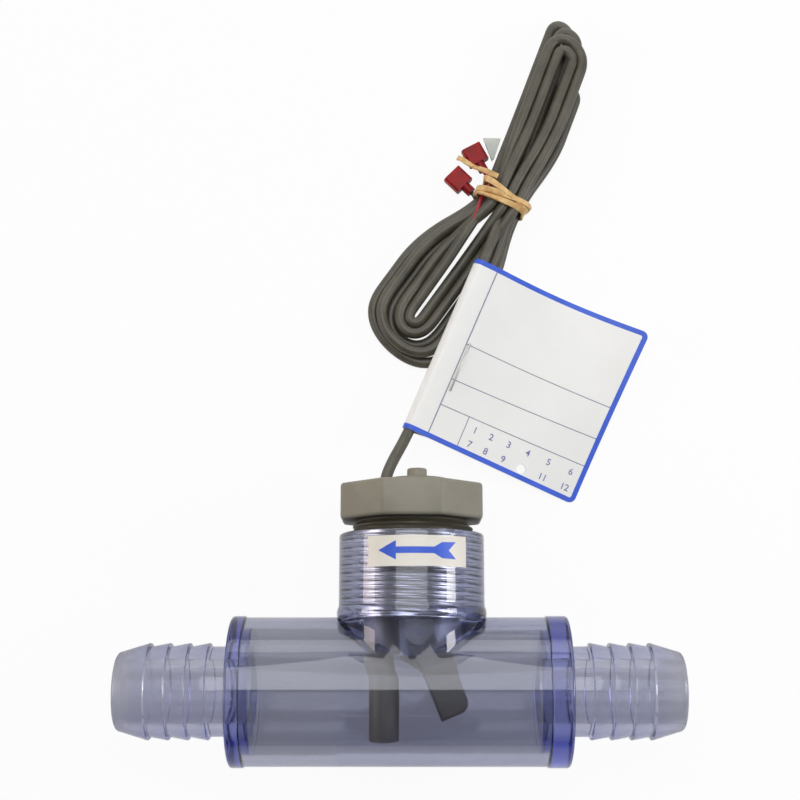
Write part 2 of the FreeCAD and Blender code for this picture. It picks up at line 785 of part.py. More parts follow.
def build():
    """Every node by name."""
    outlet_spigot_r = outlet_socket_r - spigot_clearance
    inlet_spigot_r = run_bore_r - spigot_clearance
    return {
        "tee_body": make_tee_body(),
        "outlet_barb": make_barb(-1, outlet_end, outlet_flange, outlet_spigot_r),
        "inlet_barb": make_barb(1, inlet_end, inlet_flange, inlet_spigot_r),
        "switch_head": make_switch_head(),
        "port_plug": make_port_plug(),
        "return_magnet": make_return_magnet(),
        "reed_stem": make_reed_stem(),
        "reed_capsule": make_reed_capsule(),
        "reed_blade_upper": make_upper_blade(),
        "reed_blade_lower": make_lower_blade(),
        "core_red": make_core_red(),
        "core_black": make_core_black(),
        "lead_sleeve": make_lead_sleeve(),
        "potting": make_potting(),
        "pivot_pin": make_pivot_pin(),
        "paddle": make_paddle(),
        "paddle_magnet": make_paddle_magnet(),
        "magnet_cap": make_magnet_cap(),
        "arrow_label": make_arrow_label(),
        "cable": tube("cable", cable_route, cable_r),
        "cable_hank": make_cable_hank(),
        "rubber_band": make_rubber_band(),
        "wire_red": tube("wire_red", wire_red_route, wire_r),
        "wire_black": tube("wire_black", wire_black_route, wire_r),
        "terminal_red_sleeve": make_terminal_sleeve(red_terminal_at, red_terminal_turn),
        "terminal_red_contact": make_terminal_contact(red_terminal_at, red_terminal_turn),
        "terminal_black_sleeve": make_terminal_sleeve(black_terminal_at, black_terminal_turn),
        "terminal_black_contact": make_terminal_contact(black_terminal_at,
                                                        black_terminal_turn),
        "lead_flag": make_lead_flag(),
        "tag": make_tag(),
        "tag_staple": make_tag_staple()}


def main():
    """Write one STEP file per node."""
    os.makedirs("parts", exist_ok=True)
    for name, shape in build().items():
        if not shape.isValid():
            print(f"{name} is not valid")
        shape.exportStep(f"parts/{name}.step")
        low = shape.BoundBox
        print(f"{name}: {len(shape.Solids)} solid, volume {shape.Volume:.1f}, "
              f"x {low.XMin:.1f} {low.XMax:.1f}, y {low.YMin:.1f} {low.YMax:.1f}, "
              f"z {low.ZMin:.1f} {low.ZMax:.1f}")


main()
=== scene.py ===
"""Looks of the paddle flow switch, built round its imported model.

The frame is the part's own: X along the pipe (the flow goes towards -X), Y up the branch and
Z away from the floor. Lengths here are in millimetres and turn into metres in the helpers.
"""
import math

import bmesh
import bpy
from mathutils import Matrix, Vector


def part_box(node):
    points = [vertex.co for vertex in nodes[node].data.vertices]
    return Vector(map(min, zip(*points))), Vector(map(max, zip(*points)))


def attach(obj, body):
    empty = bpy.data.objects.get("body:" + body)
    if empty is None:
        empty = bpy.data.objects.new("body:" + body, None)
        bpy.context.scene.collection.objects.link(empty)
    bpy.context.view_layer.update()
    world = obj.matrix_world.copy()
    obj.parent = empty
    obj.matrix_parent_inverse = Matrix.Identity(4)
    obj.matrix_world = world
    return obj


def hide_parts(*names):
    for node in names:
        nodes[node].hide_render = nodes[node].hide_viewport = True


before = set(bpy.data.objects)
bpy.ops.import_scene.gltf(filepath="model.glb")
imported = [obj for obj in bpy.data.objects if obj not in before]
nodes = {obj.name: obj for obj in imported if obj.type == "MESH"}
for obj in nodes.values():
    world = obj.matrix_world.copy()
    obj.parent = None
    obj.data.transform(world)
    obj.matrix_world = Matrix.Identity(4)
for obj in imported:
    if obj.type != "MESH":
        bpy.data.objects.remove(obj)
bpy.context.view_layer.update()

MM = 0.001
SWITCH = "switch"


def span(node, axis):
    """Lowest and highest place of a CAD node along an axis, in millimetres."""
    low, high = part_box(node)
    index = "xyz".index(axis)
    return low[index] / MM, high[index] / MM


# Sizes, in millimetres

outlet_end, inlet_end = span("tee_body", "x")
branch_top = span("tee_body", "y")[1]
run_r = -span("tee_body", "y")[0]
floor_z = span("outlet_barb", "z")[0]
flange_r = -floor_z
outlet_tip, outlet_spigot = span("outlet_barb", "x")
inlet_spigot, inlet_tip = span("inlet_barb", "x")
barb_length = 30.4
outlet_flange_face = outlet_tip + barb_length
inlet_flange_face = inlet_tip - barb_length
run_bore_r = 16.2
socket_r = 16.7
socket_stop = -19.5
branch_r = 19.6
branch_root_r = 19.15
collar_r = 20.1
branch_bore_r = 13.4
thread_bottom = 19.8
thread_mouth_r = 16.2
thread_pitch = 25.4 / 11.5
thread_taper = 1 / 32
thread_depth = 1.05
barb_bore_r = 8.5
crest_r = 12.7
root_r = 11.8
tip_r = 10.2
head_low, head_high = 45.2, 55.0
head_flats = 2 * span("switch_head", "x")[1]
boss_high = span("switch_head", "y")[1]
boss_x = 1.5
port_seat_r = 2.7
port_seat_depth = 1.2
stem_x = sum(span("reed_stem", "x")) / 2
cable_r = 1.6
lead_r = 0.65
pivot = Vector((1.8, 16.2, 0.0))
quarter_steps = [math.radians(22.5 * step) for step in range(5)]


# Mesh helpers

def link(name, data):
    """A linked object that shows its data."""
    obj = bpy.data.objects.new(name, data)
    bpy.context.scene.collection.objects.link(obj)
    return obj


def from_points(name, points, faces, sharp_angle=32):
    """An object from points in millimetres, smooth but for its sharp edges."""
    mesh = bpy.data.meshes.new(name)
    mesh.from_pydata([tuple(c * MM for c in p) for p in points], [], faces)
    mesh.update()
    obj = link(name, mesh)
    tidy(obj, sharp_angle)
    return obj


def tidy(obj, sharp_angle=32):
    """Outward faces, smooth shading, sharp edges kept."""
    mesh = obj.data
    work = bmesh.new()
    work.from_mesh(mesh)
    bmesh.ops.remove_doubles(work, verts=work.verts, dist=1e-7)
    bmesh.ops.recalc_face_normals(work, faces=work.faces)
    work.to_mesh(mesh)
    work.free()
    mesh.shade_smooth()
    mesh.set_sharp_from_angle(angle=math.radians(sharp_angle))


def grid_faces(rows, columns, rows_meet=False, columns_meet=True):
    """Quads between rows of points; rows and columns may close on themselves."""
    faces = []
    for row in range(rows if rows_meet else rows - 1):
        here = row * columns
        there = (row + 1) % rows * columns
        for j in range(columns if columns_meet else columns - 1):
            k = (j + 1) % columns
            faces.append((here + j, here + k, there + k, there + j))
    return faces


def end_faces(rows, columns):
    """The faces that close the first and the last of the rows."""
    return [tuple(range(columns)), tuple(range((rows - 1) * columns, rows * columns))]


def freeze(obj):
    """Apply an object's modifiers."""
    graph = bpy.context.evaluated_depsgraph_get()
    mesh = bpy.data.meshes.new_from_object(obj.evaluated_get(graph))
    old = obj.data
    obj.modifiers.clear()
    obj.data = mesh
    bpy.data.meshes.remove(old)


def combine(target, others, operation, sharp_angle=32):
    """Exact boolean of a solid with others, which are used up."""
    for other in others:
        modifier = target.modifiers.new("cut", "BOOLEAN")
        modifier.operation = operation
        modifier.solver = "EXACT"
        modifier.object = other
    freeze(target)
    for other in others:
        bpy.data.meshes.remove(other.data)
    tidy(target, sharp_angle)


def bevel(obj, width, segments, angle):
    """Round the sharp edges of a solid."""
    modifier = obj.modifiers.new("bevel", "BEVEL")
    modifier.width = width * MM
    modifier.segments = segments
    modifier.limit_method = "ANGLE"
    modifier.angle_limit = math.radians(angle)
    freeze(obj)
    tidy(obj, 40)


def lathe(name, profile, axis, segments=192, centre=(0, 0)):
    """Turn a closed outline of (place, radius) about the run or the branch."""
    points = []
    for i in range(segments):
        angle = 2 * math.pi * i / segments
        for place, radius in profile:
            a = radius * math.cos(angle)
            b = radius * math.sin(angle)
            if axis == "x":
                points.append((place, a + centre[0], b + centre[1]))
            else:
                points.append((a + centre[0], place, b + centre[1]))
    obj = from_points(name, points, grid_faces(segments, len(profile), True))
    work = bmesh.new()
    work.from_mesh(obj.data)
    bmesh.ops.dissolve_degenerate(work, dist=1e-7, edges=work.edges)
    work.to_mesh(obj.data)
    work.free()
    tidy(obj)
    return obj


def rod(name, radius, low, high, axis, segments=192, centre=(0, 0)):
    """A round bar along the run or the branch."""
    return lathe(name, [(low, 0), (low, radius), (high, radius), (high, 0)], axis, segments,
                 centre)


def rod_z(name, radius, low, high, x, y, segments=64):
    """A round bar along Z."""
    points = []
    for z in (low, high):
        for i in range(segments):
            angle = 2 * math.pi * i / segments
            points.append((x + radius * math.cos(angle), y + radius * math.sin(angle), z))
    return from_points(name, points, end_faces(2, segments) + grid_faces(2, segments))


def block(name, low, high):
    """A box between two corners."""
    points = [(x, y, z) for x in (low[0], high[0]) for y in (low[1], high[1])
              for z in (low[2], high[2])]
    faces = [(0, 1, 3, 2), (4, 6, 7, 5), (0, 4, 5, 1), (2, 3, 7, 6), (0, 2, 6, 4), (1, 5, 7, 3)]
    return from_points(name, points, faces)


def thread_height(phase):
    """Height over the root, 0 to 1, of a pipe thread's truncated V at a share of its pitch."""
    flank = 0.40
    crest = 0.10
    distance = abs(phase - 0.5)
    if distance < crest / 2:
        return 1.0
    if distance > crest / 2 + flank:
        return 0.0
    return 1 - (distance - crest / 2) / flank


def threaded_bar(name, low, high, clearance, fade_from=None, neck_r=None):
    """Solid bar with a helical taper thread; past fade_from it runs out into a plain neck."""
    segments = 144
    rows_per_pitch = 10
    fade_length = 0.6 * thread_pitch
    rows = round((high - low) / thread_pitch * rows_per_pitch) + 1
    points = []
    for row in range(rows):
        y = low + (high - low) * row / (rows - 1)
        cone = thread_mouth_r - (branch_top - y) * thread_taper - clearance
        for i in range(segments):
            angle = 2 * math.pi * i / segments
            phase = (y / thread_pitch - i / segments) % 1.0
            height = thread_height(phase) - 0.5
            radius = cone + height * thread_depth
            if fade_from is not None and y > fade_from:
                share = min(1.0, (y - fade_from) / fade_length)
                radius += (neck_r - radius) * share
            points.append((radius * math.cos(angle), y, radius * math.sin(angle)))
    faces = grid_faces(rows, segments) + end_faces(rows, segments)
    return from_points(name, points, faces, 50)


def tube(name, kind, points, radius, roundness):
    """A round wire or cord along one open spline with those control points."""
    curve = bpy.data.curves.new(name, "CURVE")
    curve.dimensions = "3D"
    curve.bevel_depth = radius * MM
    curve.bevel_resolution = roundness
    curve.use_fill_caps = True
    spline = curve.splines.new(kind)
    spline.points.add(len(points) - 1)
    for point, place in zip(spline.points, points):
        point.co = (*(Vector(place) * MM), 1)
    return link(name, curve)


# Materials

def new_material(name):
    """An empty node material, its tree and its output."""
    material = bpy.data.materials.new(name)
    material.use_nodes = True
    tree = material.node_tree
    tree.nodes.clear()
    output = new_node(tree, "OutputMaterial")
    return material, tree, output


def new_node(tree, kind, values=()):
    """A shader node with some of its inputs set, as (name, value) pairs."""
    node = tree.nodes.new("ShaderNode" + kind)
    for name, value in values:
        node.inputs[name].default_value = value
    return node


def noise(tree, scale, detail, roughness, stretch):
    """Noise in the object's own metres, stretched along its axes."""
    place = new_node(tree, "TexCoord")
    mapping = new_node(tree, "Mapping", [("Scale", stretch)])
    texture = new_node(tree, "TexNoise", [("Scale", scale), ("Detail", detail),
                                          ("Roughness", roughness)])
    tree.links.new(place.outputs["Object"], mapping.inputs["Vector"])
    tree.links.new(mapping.outputs["Vector"], texture.inputs["Vector"])
    return texture.outputs["Fac"]


def ramp(tree, value, stops):
    """Colours picked by a value."""
    node = new_node(tree, "ValToRGB")
    elements = node.color_ramp.elements
    while len(elements) < len(stops):
        elements.new(0.5)
    for element, (place, colour) in zip(elements, stops):
        element.position = place
        element.color = (*colour, 1)
    tree.links.new(value, node.inputs["Fac"])
    return node.outputs["Color"]


def spread(tree, value, low, high):
    """A value from 0..1 mapped to low..high."""
    node = new_node(tree, "MapRange", [("To Min", low), ("To Max", high)])
    tree.links.new(value, node.inputs["Value"])
    return node.outputs["Result"]


def bump(tree, value, strength, distance):
    """A bump normal from a height value."""
    node = new_node(tree, "Bump", [("Strength", strength), ("Distance", distance * MM)])
    tree.links.new(value, node.inputs["Height"])
    return node.outputs["Normal"]


def axes(tree, space):
    """The three coordinates of a place in a space of the Texture Coordinate node."""
    place = new_node(tree, "TexCoord")
    parts = new_node(tree, "SeparateXYZ")
    tree.links.new(place.outputs[space], parts.inputs[0])
    return parts.outputs


def math_node(tree, operation, first, second):
    """A math node of two values, each a socket or a number."""
    node = new_node(tree, "Math")
    node.operation = operation
    for socket, value in zip(node.inputs, (first, second)):
        if isinstance(value, (int, float)):
            socket.default_value = value
        else:
            tree.links.new(value, socket)
    return node.outputs[0]


def mixed(tree, share, first, second):
    """A mix of two shader nodes, as a node too."""
    node = new_node(tree, "MixShader")
    tree.links.new(share, node.inputs["Fac"])
    tree.links.new(first.outputs[0], node.inputs[1])
    tree.links.new(second.outputs[0], node.inputs[2])
    return node


def plastic(name, dark, light, rough, grain=1400, grain_depth=0.02, blotch=60, specular=0.5,
            metallic=0.0, stretch=(1, 1, 1)):
    """Opaque finish: blotchy colour, uneven gloss and a fine moulded or drawn grain."""
    material, tree, output = new_material(name)
    shader = new_node(tree, "BsdfPrincipled", [("Metallic", metallic),
                                               ("Specular IOR Level", specular)])
    patches = noise(tree, blotch, 4.0, 0.6, stretch)
    tree.links.new(ramp(tree, patches, [(0.35, dark), (0.65, light)]),
                   shader.inputs["Base Color"])
    tree.links.new(spread(tree, patches, *rough), shader.inputs["Roughness"])
    fine = noise(tree, grain, 2.0, 0.6, stretch)
    tree.links.new(bump(tree, fine, 0.6, grain_depth), shader.inputs["Normal"])
    tree.links.new(shader.outputs["BSDF"], output.inputs["Surface"])
    return material


def paint_neck_shade(material):
    """Painted shade: the head's base colour is darkened in the recess between the head and the
    branch.
    """
    tree = material.node_tree
    shader = tree.nodes["Principled BSDF"]
    y = axes(tree, "Object")[1]
    above = math_node(tree, "GREATER_THAN", y, branch_top * MM)
    below = math_node(tree, "LESS_THAN", y, (head_low + 0.05) * MM)
    darken = new_node(tree, "Mix")
    darken.data_type = "RGBA"
    tree.links.new(math_node(tree, "MULTIPLY", above, below), darken.inputs[0])
    tree.links.new(shader.inputs["Base Color"].links[0].from_socket, darken.inputs[6])
    # colour of the painted shade in the recess under the head
    darken.inputs[7].default_value = (0.075, 0.068, 0.048, 1)
    tree.links.new(darken.outputs[2], shader.inputs["Base Color"])


def clear_plastic(name, skin, shade, density, roughness, frost=None, ior=1.53):
    """Clear tinted plastic: a little haze at its skin, and colour by the thickness crossed."""
    material, tree, output = new_material(name)
    shader = new_node(tree, "BsdfPrincipled", [
        ("Base Color", (*skin, 1)), ("Transmission Weight", 1.0), ("IOR", ior)])
    wavy = noise(tree, 90, 2.0, 0.5, (0.35, 1, 1))
    rough = spread(tree, wavy, *roughness)
    if frost:
        rough = math_node(tree, "MAXIMUM", rough, frost(tree))
    tree.links.new(rough, shader.inputs["Roughness"])
    tree.links.new(bump(tree, wavy, 0.25, 0.05), shader.inputs["Normal"])
    clear = new_node(tree, "BsdfTransparent", [("Color", (0.85, 0.86, 0.90, 1))])
    ray = new_node(tree, "LightPath")
    surface = mixed(tree, ray.outputs["Is Shadow Ray"], shader, clear)
    tree.links.new(surface.outputs["Shader"], output.inputs["Surface"])
    absorb = new_node(tree, "VolumeAbsorption", [("Color", (*shade, 1)), ("Density", density)])
    tree.links.new(absorb.outputs["Volume"], output.inputs["Volume"])
    return material


def branch_frost(tree):
    """Rough wall of the branch's bore and tapped hole, as the tap and the mould leave it."""
    wall_r = 17.8
    low = 9
    haze = 0.24
    x, y, z = axes(tree, "Object")
    across = math_node(tree, "ADD", math_node(tree, "MULTIPLY", x, x),
                       math_node(tree, "MULTIPLY", z, z))
    inner = math_node(tree, "LESS_THAN", across, (wall_r * MM) ** 2)
    high = math_node(tree, "GREATER_THAN", y, low * MM)
    return math_node(tree, "MULTIPLY", math_node(tree, "MULTIPLY", inner, high), haze)


def tip_frost(tree):
    """Worn, hazy tips of the hose barbs: the haze grows with the way past a place."""
    clear_to = 56
    haze_per_metre = 14.0
    far = math_node(tree, "ABSOLUTE", axes(tree, "Object")[0], 0)
    past = math_node(tree, "SUBTRACT", far, clear_to * MM)
    return math_node(tree, "MULTIPLY", past, haze_per_metre)


def translucent_red(name):
    """Red nylon of the terminals: glossy, with light passing a little way in."""
    material = plastic(name, (0.20, 0.0005, 0.001), (0.36, 0.001, 0.003), (0.30, 0.42), 900,
                       0.01, 320, 0.25)
    shader = material.node_tree.nodes["Principled BSDF"]
    shader.inputs["Subsurface Weight"].default_value = 0.12
    shader.inputs["Subsurface Radius"].default_value = (0.002, 0.0004, 0.0003)
    return material


def make_materials():
    """Every finish by name; the opaque ones' values are those that plastic takes."""
    opaque = {
        "head": ((0.200, 0.185, 0.143), (0.246, 0.230, 0.182), (0.42, 0.55), 1600, 0.025, 70),
        "stem": ((0.16, 0.145, 0.105), (0.20, 0.18, 0.135), (0.35, 0.5)),
        "paddle": ((0.085, 0.080, 0.060), (0.11, 0.10, 0.078), (0.35, 0.5)),
        "magnet": ((0.02, 0.02, 0.022), (0.035, 0.035, 0.038), (0.3, 0.45)),
        "dark_steel": ((0.10, 0.10, 0.10), (0.15, 0.15, 0.15), (0.35, 0.45), 900, 0.01, 90, 0.5,
                       1.0),
        "steel": ((0.55, 0.54, 0.52), (0.68, 0.67, 0.64), (0.2, 0.32), 2400, 0.01, 300, 0.5, 1.0,
                  (1, 12, 1)),
        "staple": ((0.46, 0.45, 0.43), (0.56, 0.55, 0.52), (0.32, 0.42), 1500, 0.003, 200, 0.5,
                   1.0),
        "cable": ((0.055, 0.049, 0.034), (0.092, 0.084, 0.060), (0.34, 0.48), 2200, 0.02, 120),
        "band": ((0.56, 0.31, 0.10), (0.80, 0.55, 0.25), (0.38, 0.55), 900, 0.05, 420),
        "red_wire": ((0.30, 0.012, 0.02), (0.42, 0.03, 0.04), (0.25, 0.4), 1500, 0.01, 200),
        "black_wire": ((0.010, 0.010, 0.010), (0.02, 0.02, 0.02), (0.3, 0.45), 1500, 0.01, 200),
        "white_nylon": ((0.52, 0.54, 0.50), (0.66, 0.68, 0.63), (0.3, 0.45), 1200, 0.01, 150),
        "tag": ((0.85, 0.85, 0.83), (0.88, 0.88, 0.865), (0.32, 0.45), 700, 0.03, 45),
        "label": ((0.78, 0.74, 0.66), (0.84, 0.81, 0.74), (0.4, 0.5), 900, 0.01, 80),
        "blue_ink": ((0.030, 0.098, 0.62), (0.038, 0.125, 0.72), (0.4, 0.5), 900, 0.005, 200),
        "grey_ink": ((0.20, 0.19, 0.30), (0.28, 0.26, 0.38), (0.4, 0.5), 900, 0.005, 200),
        "violet_ink": ((0.14, 0.12, 0.34), (0.20, 0.17, 0.42), (0.4, 0.5), 900, 0.005, 200),
        "resin": ((0.02, 0.02, 0.018), (0.035, 0.033, 0.03), (0.1, 0.2), 400, 0.02, 80)}
    materials = {name: plastic(name + "_finish", *values) for name, values in opaque.items()}
    materials["terminal"] = translucent_red("terminal_finish")
    materials["clear_pvc"] = clear_plastic("clear_pvc_finish", (0.67, 0.665, 0.65),
                                           (0.06, 0.18, 0.80), 60, (0.02, 0.07), branch_frost)
    materials["clear_adapter"] = clear_plastic("clear_adapter_finish", (0.77, 0.765, 0.75),
                                               (0.06, 0.14, 0.80), 50, (0.05, 0.10), tip_frost)
    materials["glass"] = clear_plastic("glass_finish", (0.9, 0.95, 0.92), (0.7, 0.9, 0.8), 20,
                                       (0.0, 0.01), ior=1.5)
    return materials


def dress(obj, material, body=SWITCH, hides=()):
    """Give a piece its finish, its body and the CAD nodes that it stands for."""
    obj.data.materials.clear()
    obj.data.materials.append(material)
    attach(obj, body)
    if hides:
        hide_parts(*hides)


def dress_node(name, material):
    """Give a CAD node that stays a better finish and smooth shading."""
    obj = nodes[name]
    obj.data.materials.clear()
    obj.data.materials.append(material)
    obj.data.shade_smooth()
    obj.data.set_sharp_from_angle(angle=math.radians(32))


# Clear tee and adapters

def build_tee(material):
    """Tee with its crotch, collar, socket and helical tapped thread."""
    body = rod("tee_shell", run_r, outlet_end, inlet_end, "x")
    branch = lathe("branch", [
        (0, 0), (0, branch_root_r), (17.9, branch_root_r), (18.7, branch_root_r + 0.25),
        (19.3, collar_r - 0.15), (19.8, collar_r), (20.8, collar_r), (21.5, collar_r - 0.12),
        (22.3, branch_r + 0.08), (23.2, branch_r), (branch_top - 1.0, branch_r),
        (branch_top - 0.45, branch_r - 0.12), (branch_top - 0.12, branch_r - 0.45),
        (branch_top, branch_r - 1.0), (branch_top, 0)], "y")
    combine(body, [branch], "UNION")
    run_bore = rod("run_bore", run_bore_r, outlet_end - 1, inlet_end + 1, "x")
    socket = rod("socket", socket_r, outlet_end - 1, socket_stop, "x")
    branch_bore = rod("branch_bore", branch_bore_r, 0, thread_bottom + 1, "y")
    tapped = threaded_bar("tapped", thread_bottom, branch_top + 0.5, 0)
    combine(body, [run_bore, socket, branch_bore, tapped], "DIFFERENCE", 38)
    dress(body, material, hides=["tee_body"])


def barb_outline(side, flange_face, tee_face, spigot_end, spigot_r):
    """Closed outline of one adapter with small lands and rounded edges."""
    crests = 4
    first_crest = 5.7
    crest_pitch = 5.3
    land = 0.45
    flange_round = 0.8
    tip_round = 1.3
    round_start_r = tip_r + 0.35
    points = [(spigot_end, barb_bore_r), (spigot_end, spigot_r), (tee_face, spigot_r),
              (tee_face, flange_r - 0.15), (tee_face + side * 0.15, flange_r)]
    for angle in quarter_steps:
        points.append((flange_face - side * flange_round * (1 - math.sin(angle)),
                       flange_r - flange_round * (1 - math.cos(angle))))
    points.append((flange_face, root_r + 0.35))
    points.append((flange_face + side * 0.35, root_r))
    for i in range(crests):
        crest = flange_face + side * (first_crest + crest_pitch * i)
        points += [(crest - side * 0.12, root_r + 0.02), (crest + side * 0.02, root_r + 0.14),
                   (crest + side * 0.05, crest_r - 0.15), (crest + side * 0.18, crest_r),
                   (crest + side * land, crest_r)]
        if i < crests - 1:
            points.append((crest + side * (crest_pitch - land), root_r + 0.05))
    tip = flange_face + side * barb_length
    slope_end = tip - side * tip_round
    points.append((slope_end, round_start_r))
    for angle in quarter_steps[1:]:
        points.append((slope_end + side * tip_round * math.sin(angle),
                       round_start_r - tip_round * (1 - math.cos(angle))))
    points.append((tip, barb_bore_r))
    return points


def build_barbs(material):
    """Both hose adapters."""
    spots = (("outlet_adapter", -1, outlet_flange_face, outlet_end, outlet_spigot,
              socket_r - 0.05, "outlet_barb"),
             ("inlet_adapter", 1, inlet_flange_face, inlet_end, inlet_spigot,
              run_bore_r - 0.05, "inlet_barb"))
    for name, side, face, tee_face, spigot_end, spigot_r, node in spots:
        barb = lathe(name, barb_outline(side, face, tee_face, spigot_end, spigot_r), "x")
        dress(barb, material, hides=[node])


# Head

def build_head(material):
    """Octagonal head, boss, exposed thread, taper plug, clevis ears and bores."""
    stem_seat = 12.0
    stem_seat_r = 4.05
    plug_top = head_low + 0.8
    neck_low = 43.4
    neck_r = 15.0
    boss_r = 9.0
    ear_r = 3.5
    ear_inside, ear_outside = 6.9, 9.1
    mouth_low = 49
    port_r = 2.3
    pin_hole_r = 1.2
    corner = head_flats / 2 / math.cos(math.pi / 8)
    points = []
    for y in (head_low, head_high):
        for i in range(8):
            angle = math.pi * (2 * i + 1) / 8
            points.append((corner * math.cos(angle), y, corner * math.sin(angle)))
    head = from_points("head_shell", points, end_faces(2, 8) + grid_faces(2, 8), 20)
    bevel(head, 1.0, 4, 20)
    plug_low = span("reed_stem", "y")[1] - stem_seat
    plug = threaded_bar("plug", plug_low, plug_top, 0.1, neck_low, neck_r)
    boss = lathe("boss", [(head_high - 1, 0), (head_high - 1, boss_r), (boss_high - 0.5, boss_r),
                          (boss_high - 0.15, boss_r - 0.15), (boss_high, boss_r - 0.5),
                          (boss_high, 0)], "y", 96, (boss_x, 0))
    combine(head, [plug, boss], "UNION", 35)
    ears = []
    for side in (-1, 1):
        z_low, z_high = sorted((side * ear_inside, side * ear_outside))
        ears.append(rod_z("ear", ear_r, z_low, z_high, pivot.x, pivot.y))
        ears.append(block("ear_root", (pivot.x - ear_r, pivot.y, z_low),
                          (pivot.x + ear_r, plug_low + 0.6, z_high)))
    combine(head, ears, "UNION", 35)
    pin_hole = rod_z("pin_hole", pin_hole_r, -12, 12, pivot.x, pivot.y, 32)
    seat = rod("seat", stem_seat_r, plug_low - 1, plug_low + stem_seat, "y", 64, (stem_x, 0))
    cavity = rod("cavity", 2.6, plug_low + stem_seat - 1, mouth_low + 1, "y", 48, (stem_x, 0))
    mouth = lathe("mouth", [(mouth_low, 0), (mouth_low, cable_r + 0.05),
                            (boss_high - 3.8, cable_r + 0.05), (boss_high, 3.0),
                            (boss_high + 1, 3.3), (boss_high + 1, 0)], "y", 48, (stem_x, 0))
    port = rod("port", port_r, plug_low + 3, boss_high + 1, "y", 48, (boss_x, 0))
    port_seat = rod("port_seat", port_seat_r, boss_high - port_seat_depth, boss_high + 1, "y",
                    48, (boss_x, 0))
    combine(head, [pin_hole, seat, cavity, mouth, port, port_seat], "DIFFERENCE", 35)
    dress(head, material, hides=["switch_head"])


def build_port_plug(material):
    """Plug in the head's centre, with a rounded rim and a shallow dimple."""
    low, high = span("port_plug", "y")
    plug = lathe("port_plug_shell", [
        (low, 0), (low, 2.25), (boss_high - port_seat_depth, 2.25),
        (boss_high - port_seat_depth, port_seat_r), (high - 0.45, port_seat_r),
        (high - 0.15, port_seat_r - 0.1), (high, port_seat_r - 0.4), (high, 1.5),
        (high - 0.35, 1.2), (high - 0.4, 0)], "y", 64, (boss_x, 0))
    dress(plug, material, hides=["port_plug"])


# Label and its arrow

def on_branch(x, y, radius):
    """A point on the branch's front, at a distance along its girth from the middle."""
    angle = x / branch_r
    return radius * math.sin(angle), y, radius * math.cos(angle)


def curved_patch(name, outline, radius, thickness):
    """A thin piece with a straight-sided outline in (girth, y), wrapped on the branch."""
    cut_every = 0.6
    mesh = bpy.data.meshes.new(name)
    work = bmesh.new()
    work.faces.new([work.verts.new((x, y, 0)) for x, y in outline])
    low = min(x for x, _ in outline)
    high = max(x for x, _ in outline)
    cuts = int((high - low) / cut_every)
    for i in range(1, cuts):
        place = low + (high - low) * i / cuts
        bmesh.ops.bisect_plane(work, geom=work.verts[:] + work.edges[:] + work.faces[:],
                               plane_co=(place, 0, 0), plane_no=(1, 0, 0))
    top = bmesh.ops.extrude_face_region(work, geom=work.faces[:])
    raised = {v for v in top["geom"] if isinstance(v, bmesh.types.BMVert)}
    for vert in work.verts:
        level = radius + (thickness if vert in raised else 0)
        vert.co = Vector(on_branch(vert.co.x, vert.co.y, level)) * MM
    work.to_mesh(mesh)
    work.free()
    obj = link(name, mesh)
    tidy(obj, 40)
    return obj


def build_label(paper, ink):
    """White sticker and its blue flow arrow."""
    low, high = span("arrow_label", "y")
    left, right = span("arrow_label", "x")
    girth_left = branch_r * math.asin(left / branch_r)
    girth_right = branch_r * math.asin(right / branch_r)
    label = curved_patch("arrow_sticker", [(girth_left, low), (girth_right, low),
                                           (girth_right, high), (girth_left, high)],
                         branch_r + 0.01, 0.10)
    dress(label, paper, hides=["arrow_label"])
    middle = (low + high) / 2 + 0.15
    tip, head_end, shaft_end, tail_end = -8.9, -4.1, 5.9, 12.2
    head_half, shaft_half, feather_half, tail_half = 2.5, 0.85, 2.1, 2.25
    lower = [(head_end, -head_half), (head_end, -shaft_half), (shaft_end, -shaft_half),
             (shaft_end + 2.2, -feather_half), (tail_end, -tail_half)]
    outline = [(tip, middle)] + [(x, middle + y) for x, y in lower]
    outline.append((tail_end - 2.2, middle))
    outline += [(x, middle - y) for x, y in reversed(lower)]
    arrow = curved_patch("flow_arrow", outline, branch_r + 0.10, 0.03)
    dress(arrow, ink)


# Tag

tag_centre = Vector((10.07, 96.88, -10.5))
tag_turn = math.radians(66.8)
tag_slope = math.radians(12.6)
tag_width = 53.8
tag_height = 53.6
tag_sheet = 0.25
tag_corner = 2.0
tag_curl = 7.0
tag_dip = 1.8
fold_r = cable_r + 0.4 + tag_sheet
fold_close = 7.6
print_lift = 0.03
punch_place = (35.7, 3.0)
punch_r = 1.4
punched_number = 10


def tag_axes():
    """Directions across the tag, along its fold and out of its printed face."""
    up_fold = Vector((math.cos(tag_turn), math.sin(tag_turn), 0))
    across = up_fold.cross(Vector((0, 0, 1))) * math.cos(tag_slope)
    across -= Vector((0, 0, 1)) * math.sin(tag_slope)
    return across, up_fold, across.cross(up_fold)


def tag_wave(u, v):
    """How far the sheet stands off its plane: it dips past the fold, its far corner curls up."""
    out = min(1.0, max(0.0, (u - fold_close) / (tag_width - fold_close)))
    up = max(0.0, v / tag_height)
    return tag_curl * out ** 2 * up ** 1.5 - tag_dip * math.sin(math.pi * out) * up


def on_tag(u, v, w=0.0):
    """A point on the tag: u from its fold edge, v from its lower edge, w off its face."""
    across, up_fold, normal = tag_axes()
    middle = tag_centre + up_fold * (v - tag_height / 2)
    if u >= fold_r:
        return middle + across * (u - fold_r) + normal * (fold_r + w + tag_wave(u, v))
    angle = (fold_r - u) / fold_r
    return middle + (normal * math.cos(angle) - across * math.sin(angle)) * (fold_r + w)


